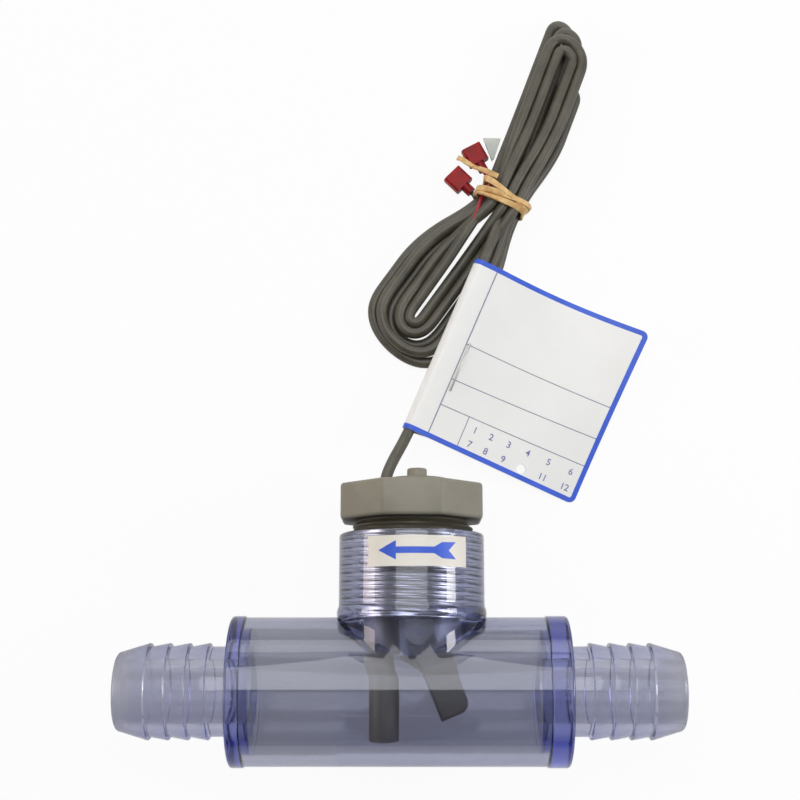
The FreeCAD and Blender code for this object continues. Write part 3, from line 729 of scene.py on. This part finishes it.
def free_edge(v):
    """How far the sheet reaches at a height: its two free corners are rounded."""
    inside = max(tag_corner - min(v, tag_height - v), 0)
    return tag_width - tag_corner + math.sqrt(tag_corner ** 2 - inside ** 2)


def build_tag(vinyl):
    """Sheet folded round the cable; its layers meet at the staple and lie together after."""
    across, up_fold, normal = tag_axes()
    tip = Vector((fold_close - fold_r, fold_r))
    lean = math.atan2(tip.y, tip.x)
    opening = math.acos(fold_r / tip.length)
    middle_r = fold_r - tag_sheet / 2
    columns = 16
    pitch = (tag_width - fold_r) / columns
    line = [(tag_width - fold_r - i * pitch, middle_r) for i in range(columns)]
    start = lean + opening
    sweep = 2 * math.pi - 2 * opening
    turn_steps = 24
    for i in range(turn_steps + 1):
        angle = start + sweep * i / turn_steps
        line.append((middle_r * math.cos(angle), middle_r * math.sin(angle)))
    line.append((fold_close - fold_r - 0.2, fold_r - 1.6 * tag_sheet))
    pitch = (tag_width - fold_close - 0.6) / columns
    line += [(fold_close - fold_r + 0.6 + i * pitch, fold_r - 1.5 * tag_sheet - 0.01)
             for i in range(columns + 1)]
    corner_rows = [0.0, 0.15, 0.45, 0.9, 1.4, tag_corner]
    plain = tag_height - 2 * tag_corner
    rows = 26
    heights = corner_rows + [tag_corner + plain * (i + 1) / rows for i in range(rows - 1)]
    heights += [tag_height - v for v in reversed(corner_rows)]
    points = []
    for v in heights:
        for i, (a, b) in enumerate(line):
            if i in (0, len(line) - 1):
                a = free_edge(v) - fold_r
            place = tag_centre + across * a + up_fold * (v - tag_height / 2)
            points.append(place + normal * (b + tag_wave(a + fold_r, v)))
    faces = grid_faces(len(heights), len(line), columns_meet=False)
    tag = from_points("tag_sheet", points, faces, 60)
    solid = tag.modifiers.new("sheet", "SOLIDIFY")
    solid.thickness = tag_sheet * MM
    solid.offset = 0
    freeze(tag)
    tidy(tag, 50)
    punch = on_tag(*punch_place)
    direction = normal.to_track_quat("Z", "Y").to_matrix().to_4x4()
    bpy.ops.mesh.primitive_cylinder_add(vertices=40, radius=punch_r * MM, depth=4 * MM)
    cutter = bpy.context.active_object
    cutter.data.transform(Matrix.Translation(punch * MM) @ direction)
    combine(tag, [cutter], "DIFFERENCE", 50)
    dress(tag, vinyl, hides=["tag"])


def tag_strip(name, corners, width, material):
    """A printed line on the tag's face through (u, v) places, lying on its wave."""
    corners = [Vector(corner) for corner in corners]
    places = []
    for a, b in zip(corners, corners[1:]):
        steps = max(1, round((b - a).length))
        places += [a.lerp(b, i / steps) for i in range(steps)]
    places.append(corners[-1])
    count = len(places)
    points = []
    for i, middle in enumerate(places):
        along = (places[min(i + 1, count - 1)] - places[max(i - 1, 0)]).normalized()
        side = Vector((-along.y, along.x)) * (width / 2)
        for corner, level in ((middle - side, -print_lift), (middle + side, -print_lift),
                              (middle + side, print_lift), (middle - side, print_lift)):
            points.append(on_tag(corner.x, corner.y, level))
    strip = from_points(name, points, grid_faces(count, 4) + end_faces(count, 4))
    dress(strip, material)


def tag_number(text, u, v, size, material):
    """A plain printed number on the tag's face."""
    curve = bpy.data.curves.new("number_" + text, "FONT")
    curve.body = text
    curve.size = size
    curve.align_x = curve.align_y = "CENTER"
    curve.extrude = curve.offset = 0.02
    flat = link("number_" + text, curve)
    graph = bpy.context.evaluated_depsgraph_get()
    mesh = bpy.data.meshes.new_from_object(flat.evaluated_get(graph))
    for vert in mesh.vertices:
        vert.co = on_tag(u + vert.co.x, v + vert.co.y, print_lift + vert.co.z) * MM
    bpy.data.objects.remove(flat)
    dress(link("tag_number_" + text, mesh), material)


def build_tag_print(blue, grey, violet):
    """Border that runs on round the fold, ruled lines and the numbers of the punch grid."""
    rim = 1.45
    rule = 0.26
    fold_rule = 0.32
    short_rule_u = 16.1
    number_size = 2.7
    edge = rim / 2
    turn_r = tag_corner - edge
    wrap = [-2.4 + 0.3 * i for i in range(18)]
    border = [(u, edge) for u in wrap]
    for centre_v, first in ((tag_corner, -90), (tag_height - tag_corner, 0)):
        for step in range(5):
            angle = math.radians(first + 22.5 * step)
            border.append((tag_width - tag_corner + turn_r * math.cos(angle),
                           centre_v + turn_r * math.sin(angle)))
    border += [(u, tag_height - edge) for u in reversed(wrap)]
    tag_strip("tag_border", border, rim, blue)
    line_u = 7.0
    tag_strip("tag_line_fold", [(line_u, rim), (line_u, tag_height - rim)], fold_rule, grey)
    for i, (v, rise) in enumerate(((29.2, 0.5), (18.2, 1.7), (10.2, 1.2))):
        tag_strip(f"tag_line_{i}", [(line_u, v), (tag_width - rim, v + rise)], rule, grey)
    tag_strip("tag_line_short", [(short_rule_u, rim), (short_rule_u, 10.4)], rule, grey)
    for i in range(6):
        u = 19.2 + 4.8 * i + 0.25 * i * i
        tag_number(str(i + 1), u, 7.5 + 0.15 * i, number_size, violet)
        if i + 7 != punched_number:
            tag_number(str(i + 7), u, 3.2 + 0.06 * i, number_size, violet)


def build_staple(material):
    """Round wire staple, its crown on the print and its feet folded under."""
    low = 15.0
    high = 29.6
    u = 8.0
    wire_r = 0.25
    over = wire_r + 0.05
    under = -2 * tag_sheet - wire_r - 0.05
    line = [(u, low + 3.0, under), (u, low + 0.4, under), (u, low, under + 0.1),
            (u, low, over - 0.15), (u, low + 0.15, over), (u, high - 0.15, over),
            (u, high, over - 0.15), (u, high, under + 0.1), (u, high - 0.4, under),
            (u, high - 3.0, under)]
    staple = tube("staple_wire", "POLY", [on_tag(*place) for place in line], wire_r, 4)
    dress(staple, material, hides=["tag_staple"])


# Cable, hank, band, leads and terminals

cable_route = [
    (stem_x, 50.0, 0), (stem_x, 56.0, 0), (-5.9, 61.2, -3.2), (-1.6, 70.0, -10.1),
    (1.7, 77.6, -10.5), (7.7, 92.0, -10.5), (14.2, 106.9, -10.5), (21.3, 123.1, -10.5),
    (24.6, 131.3, -11.7), (26.2, 136.6, -13.6), (27.1, 140.4, -14.6)]
wire_red_route = [
    (11.2, 124.0, -12.9), (14.1, 128.3, -12.4), (16.9, 132.3, -12.0), (19.0, 136.3, -11.8),
    (20.4, 141.3, -12.2), (22.6, 145.3, -13.9), (23.7, 148.4, -16.4), (22.37, 150.79, -18.15),
    (20.99, 153.39, -18.15)]
wire_black_route = [
    (9.9, 122.1, -13.5), (13.0, 126.7, -12.6), (16.2, 131.6, -12.2), (17.8, 135.6, -13.2),
    (18.7, 139.6, -15.6), (19.3, 142.3, -17.4), (18.95, 144.35, -18.15), (16.87, 146.43, -18.15)]
waist = Vector((27.0, 141.6, -14.1))
waist_along = Vector((0.52, 0.854, 0)).normalized()
waist_across = Vector((0.854, -0.52, 0)).normalized()
jacket_end = [(10.9, 123.4, -12.9), (15.1, 129.9, -12.2), (18.3, 134.8, -12.0)]

# Hank: place where each lobe starts, the way it runs, the way across it, how its end slants,
# and the number of points and the power of the sine that shape its folds
upper_lobe = (Vector((29.0, 146.0, 0)), Vector((0.351, 0.936, 0)), Vector((0.936, -0.351, 0)),
              -0.3, 4, 1.0)
lower_lobe = (Vector((26.0, 140.0, 0)), Vector((-0.581, -0.814, 0)),
              Vector((-0.814, 0.581, 0)), -0.10, 6, 0.7)
layer_heights = (floor_z + cable_r + 0.05, floor_z + 2.9 * cable_r, floor_z + 4.75 * cable_r)
# For each turn: its first and its second leg across the lobe, its reach and its layer
upper_turns = [(4.6, 9.3, 36.0, 0), (-5.0, 1.3, 54.4, 0), (-2.2, 4.4, 51.6, 1),
               (-3.4, 7.9, 48.0, 2), (-0.3, 4.8, 44.9, 2)]
lower_turns = [(-12.6, 14.0, 52.4, 0), (-7.3, 8.8, 48.9, 0), (-10.0, 11.4, 50.8, 1),
               (-4.3, 6.0, 46.4, 1), (-1.2, 2.8, 43.4, 1)]
# Where the cord passes the waist between two turns, across and height: down, up, down and so on
waist_slots = [(5.0, -17.0), (-5.0, -17.0), (1.6, -17.0), (-1.7, -17.0), (4.2, -14.2),
               (-2.7, -14.2), (4.8, -11.4), (-1.4, -11.4), (1.6, -11.4)]


def at_waist(across, height):
    """A place in the hank's waist."""
    point = waist + waist_across * across
    return Vector((*point.xy, height))


def in_lobe(lobe, far, side, height):
    """A place in a lobe of the hank."""
    start, along, aside = lobe[:3]
    point = start + along * far + aside * side
    return Vector((*point.xy, height))


def leg(lobe, slot, side, reach, layer):
    """Control points of a leg, from its slot in the waist out to its own place and layer."""
    in_place = 0.47
    points = []
    height = layer_heights[layer]
    shift = slot - in_lobe(lobe, 0, side, height)
    for share in (0.14, 0.31, 0.48, 0.65):
        ease = min(1.0, share / in_place)
        left = 1 - ease * ease * (3 - 2 * ease)
        points.append(in_lobe(lobe, reach * share, side, height) + shift * left)
    return points


def fold(lobe, first, second, reach, layer):
    """Points round the end of a lobe: a half oval from one leg to the other."""
    slant, count, power = lobe[3:]
    half = abs(second - first) / 2
    depth = min(0.22 * reach, 1.6 * half) if power < 1 else half
    half_step = math.pi / count / 2
    swell = 1 / math.cos(half_step)
    ends = []
    for side in (first, second):
        straight = reach - depth - min(0.8 * half, 0.09 * reach)
        straight += slant * (side - (first + second) / 2)
        ends.append(in_lobe(lobe, straight, side, layer_heights[layer]))
    points = [ends[0]]
    for i in range(count):
        angle = half_step * (2 * i + 1)
        offset = (first - second) / 2 * swell * math.cos(angle)
        far = reach - depth + slant * offset + depth * swell * math.sin(angle) ** power
        points.append(in_lobe(lobe, far, (first + second) / 2 + offset, layer_heights[layer]))
    return points + [ends[1]]


def hank_turns():
    """Control points of the folded turns, from the waist on: up, round, down and round."""
    points = []
    slot = Vector(cable_route[-1])
    turns = [turn for pair in zip(upper_turns, lower_turns) for turn in pair]
    for i, (first, second, reach, layer) in enumerate(turns):
        lobe = (upper_lobe, lower_lobe)[i % 2]
        points += leg(lobe, slot, first, reach, layer)
        points += fold(lobe, first, second, reach, layer)
        if i < len(waist_slots):
            slot = at_waist(*waist_slots[i])
            points += reversed(leg(lobe, slot, second, reach, layer))
            points.append(slot)
    return points + jacket_end


def cord_object(name, points, radius):
    """A cord as one open smooth spline that runs from the first point to the last."""
    cord = tube(name, "NURBS", points, radius, 6)
    cord.data.resolution_u = 8
    spline = cord.data.splines[0]
    spline.order_u = 3
    spline.use_endpoint_u = True
    return cord


def build_cords(materials):
    """The cable with its hank, and the two leads."""
    cable = cord_object("cable_cord", cable_route + hank_turns(), cable_r)
    dress(cable, materials["cable"], hides=["cable", "cable_hank"])
    red = cord_object("red_lead", wire_red_route, lead_r)
    dress(red, materials["red_wire"], hides=["wire_red"])
    black = cord_object("black_lead", wire_black_route, lead_r)
    dress(black, materials["black_wire"], hides=["wire_black"])
    return cable, red, black


def ribbon(name, line, width, thickness, rolls, closed):
    """A flat strip of rubber along a line of (place, outward) pairs, rolled at each point."""
    points = []
    count = len(line)
    for i, (centre, out) in enumerate(line):
        before = line[i - 1 if closed else max(i - 1, 0)][0]
        after = line[(i + 1) % count if closed else min(i + 1, count - 1)][0]
        along = (after - before).normalized()
        side = along.cross(out).normalized()
        turned = side * math.cos(rolls[i]) + out * math.sin(rolls[i])
        up = turned.cross(along)
        for s, t in ((-1, -1), (1, -1), (1, 1), (-1, 1)):
            corner = centre + turned * (s * width / 2) + up * (t * thickness / 2)
            corner.z = max(corner.z, floor_z + 0.02)
            points.append(corner)
    faces = grid_faces(count, 4, closed) + ([] if closed else end_faces(count, 4))
    obj = from_points(name, points, faces, 60)
    bevel(obj, 0.16, 2, 40)
    return obj


def band_wrap(name, offset, lean, grow, width, thickness, phase):
    """One wrap of the band round the waist, twisting a little as it goes."""
    half_width = 7.4
    half_height = 4.7
    squash = 0.06
    wander = 0.22
    roll = 0.55
    count = 96
    line = []
    rolls = []
    for i in range(count):
        angle = 2 * math.pi * i / count
        flat = 1 - squash * math.cos(4 * angle)
        a = (half_width + grow) * math.cos(angle) * flat
        b = (half_height + grow * 0.6) * math.sin(angle) * flat
        drift = offset + lean * a / half_width + wander * math.sin(2 * angle + phase)
        out = (waist_across * math.cos(angle) + Vector((0, 0, math.sin(angle)))).normalized()
        line.append((waist + waist_across * a + waist_along * drift + Vector((0, 0, b)), out))
        rolls.append(roll * math.sin(angle * 2 + phase))
    return ribbon(name, line, width, thickness, rolls, True)


def terminal_wrap():
    """The wrap that leaves the band, lies between the two terminals and tucks under them."""
    knots = [Vector(p) for p in (
        (29.0, 145.6, -9.4), (25.4, 147.3, -9.5), (22.6, 149.1, -10.6), (20.4, 150.9, -13.2),
        (18.6, 152.4, -15.4), (16.6, 153.9, -16.0), (14.9, 155.3, -16.6), (13.9, 156.1, -18.2),
        (14.4, 155.7, -19.5))]
    line = []
    rolls = []
    steps = 6
    for a, b, c, d in zip(knots, knots[1:], knots[2:], knots[3:]):
        for step in range(steps):
            t = step / steps
            place = 0.5 * (2 * b + (c - a) * t + (2 * a - 5 * b + 4 * c - d) * t ** 2
                           + (3 * b - a - 3 * c + d) * t ** 3)
            along = (c - b).normalized()
            side = along.cross(Vector((0, 0, 1))).normalized()
            line.append((place, side.cross(along).normalized()))
            rolls.append(0.5 * math.sin(0.25 * len(line)))
    return ribbon("band_wrap_d", line, 1.5, 0.6, rolls, False)


def build_band(material):
    """The rubber band's wraps."""
    wraps = [band_wrap("band_wrap_a", -1.6, 0.6, 0.5, 1.7, 0.7, 0.3),
             band_wrap("band_wrap_b", 1.3, -0.9, 0.8, 1.8, 0.7, 1.9),
             band_wrap("band_wrap_c", 0.0, 1.6, 1.2, 1.7, 0.6, 3.4), terminal_wrap()]
    for wrap in wraps:
        dress(wrap, material, hides=["rubber_band"])
    return wraps


def build_trim(materials):
    """Finishes for the CAD pieces that stay as they are."""
    finishes = {
        "stem": ["reed_stem"], "dark_steel": ["pivot_pin"], "paddle": ["paddle", "magnet_cap"],
        "magnet": ["paddle_magnet", "return_magnet"], "glass": ["reed_capsule"],
        "steel": ["reed_blade_upper", "reed_blade_lower", "terminal_red_contact",
                  "terminal_black_contact"],
        "red_wire": ["core_red"], "black_wire": ["core_black", "lead_sleeve"],
        "resin": ["potting"], "terminal": ["terminal_red_sleeve", "terminal_black_sleeve"],
        "white_nylon": ["lead_flag"]}
    for finish, names in finishes.items():
        for name in names:
            dress_node(name, materials[finish])


# Stage

def greatest_weight(tree, weights):
    """The greatest of the weights of the kinds of ray that hold."""
    ray = new_node(tree, "LightPath")
    most = 0.0
    for kind, weight in weights.items():
        scaled = math_node(tree, "MULTIPLY", ray.outputs[kind], weight)
        most = math_node(tree, "MAXIMUM", scaled, most)
    return most


def build_floor():
    """Pale floor: looks and reflections see it whiter than it is lit, refractions darker."""
    floor_size = 5000
    low = -collar_r - 0.02
    points = [(-floor_size, -floor_size, low), (floor_size, -floor_size, low),
              (floor_size, floor_size, low), (-floor_size, floor_size, low)]
    floor = from_points("floor", points, [(0, 1, 2, 3)])
    material, tree, output = new_material("floor_finish")
    paint = new_node(tree, "BsdfDiffuse", [("Color", (0.88, 0.88, 0.88, 1))])
    white = new_node(tree, "Emission", [("Strength", 1.0)])
    share = greatest_weight(tree, {"Is Camera Ray": 0.93, "Is Glossy Ray": 0.4})
    seen = mixed(tree, share, paint, white)
    shadow = new_node(tree, "Emission", [("Strength", 0.0)])
    dim = greatest_weight(tree, {"Is Transmission Ray": 0.15})
    surface = mixed(tree, dim, seen, shadow)
    tree.links.new(surface.outputs["Shader"], output.inputs["Surface"])
    floor.data.materials.append(material)


def background(tree, strength):
    """A world background."""
    return new_node(tree, "Background", [("Color", (0.96, 0.98, 1.0, 1)), ("Strength", strength)])


def build_world():
    """Soft grey fill; mirrored and refracted looks see a room that is pale beyond the head."""
    world = bpy.data.worlds.new("studio")
    world.use_nodes = True
    tree = world.node_tree
    tree.nodes.clear()
    output = new_node(tree, "OutputWorld")
    fill = background(tree, 0.2)
    room = background(tree, 1.0)
    white = background(tree, 1.0)
    beyond = math_node(tree, "MULTIPLY_ADD", axes(tree, "Generated")[1], 0.5)
    beyond.node.inputs[2].default_value = 0.5
    tree.links.new(ramp(tree, beyond, [(0.10, (0.06, 0.06, 0.07)), (0.45, (0.32, 0.33, 0.35)),
                                       (0.65, (0.50, 0.51, 0.53)), (0.85, (0.92, 0.93, 0.95))]),
                   room.inputs["Color"])
    mirrored = greatest_weight(tree, {"Is Glossy Ray": 1.0, "Is Transmission Ray": 1.0})
    direct = greatest_weight(tree, {"Is Camera Ray": 1.0})
    surface = mixed(tree, direct, mixed(tree, mirrored, fill, room), white)
    tree.links.new(surface.outputs["Shader"], output.inputs["Surface"])
    bpy.context.scene.world = world


def aimed(place, target):
    """Matrix of a lamp or camera that looks from one place at another, upright along Y."""
    back = (Vector(place) - Vector(target)).normalized()
    right = Vector((0, 1, 0)).cross(back).normalized()
    turn = Matrix((right, back.cross(right), back)).transposed().to_4x4()
    return Matrix.Translation(Vector(place) * MM) @ turn


def area_light(name, place, aim, size, power, colour):
    """A soft box, its second size along Y; lengths in millimetres, power in watts."""
    data = bpy.data.lights.new(name, "AREA")
    data.shape = "RECTANGLE"
    data.size = size[0] * MM
    data.size_y = size[1] * MM
    data.energy = power
    data.color = colour
    light = link(name, data)
    light.matrix_world = aimed(place, aim)
    light.visible_camera = False


def build_lights():
    """Strips left and right of the branch, a wide box over the run, one beyond the head."""
    area_light("left_strip", (-498, 60, 181), (0, 30, 15), (200, 240), 0.75, (1, 0.86, 0.73))
    area_light("right_strip", (470, 66, 233), (0, 30, 15), (146, 230), 1.0, (1, 0.98, 0.96))
    area_light("top_box", (0, 216, 602), (0, 6, 19), (560, 385), 1.95, (0.98, 0.99, 1))
    area_light("back_box", (0, 620, 190), (0, 60, 0), (700, 260), 0.95, (1, 1, 1))


def build_camera():
    """Camera over the run, tilted up the branch."""
    data = bpy.data.cameras.new("camera")
    data.sensor_width = 36
    data.lens = 65.3
    data.clip_start = 0.01
    camera = link("camera", data)
    camera.matrix_world = aimed((-0.35, 2.9, 394.0), (-3.15, 79.0, 0.0))
    bpy.context.scene.camera = camera


def main():
    """Build every piece round the frame."""
    build_camera()
    materials = make_materials()
    paint_neck_shade(materials["head"])
    cable, red, black = build_cords(materials)
    build_tee(materials["clear_pvc"])
    build_barbs(materials["clear_adapter"])
    build_head(materials["head"])
    build_port_plug(materials["head"])
    build_label(materials["label"], materials["blue_ink"])
    build_tag(materials["tag"])
    build_tag_print(materials["blue_ink"], materials["grey_ink"], materials["violet_ink"])
    build_staple(materials["staple"])
    band = build_band(materials["band"])
    build_trim(materials)
    build_floor()
    build_world()
    build_lights()
    bpy.context.scene.view_settings.view_transform = "Standard"


main()
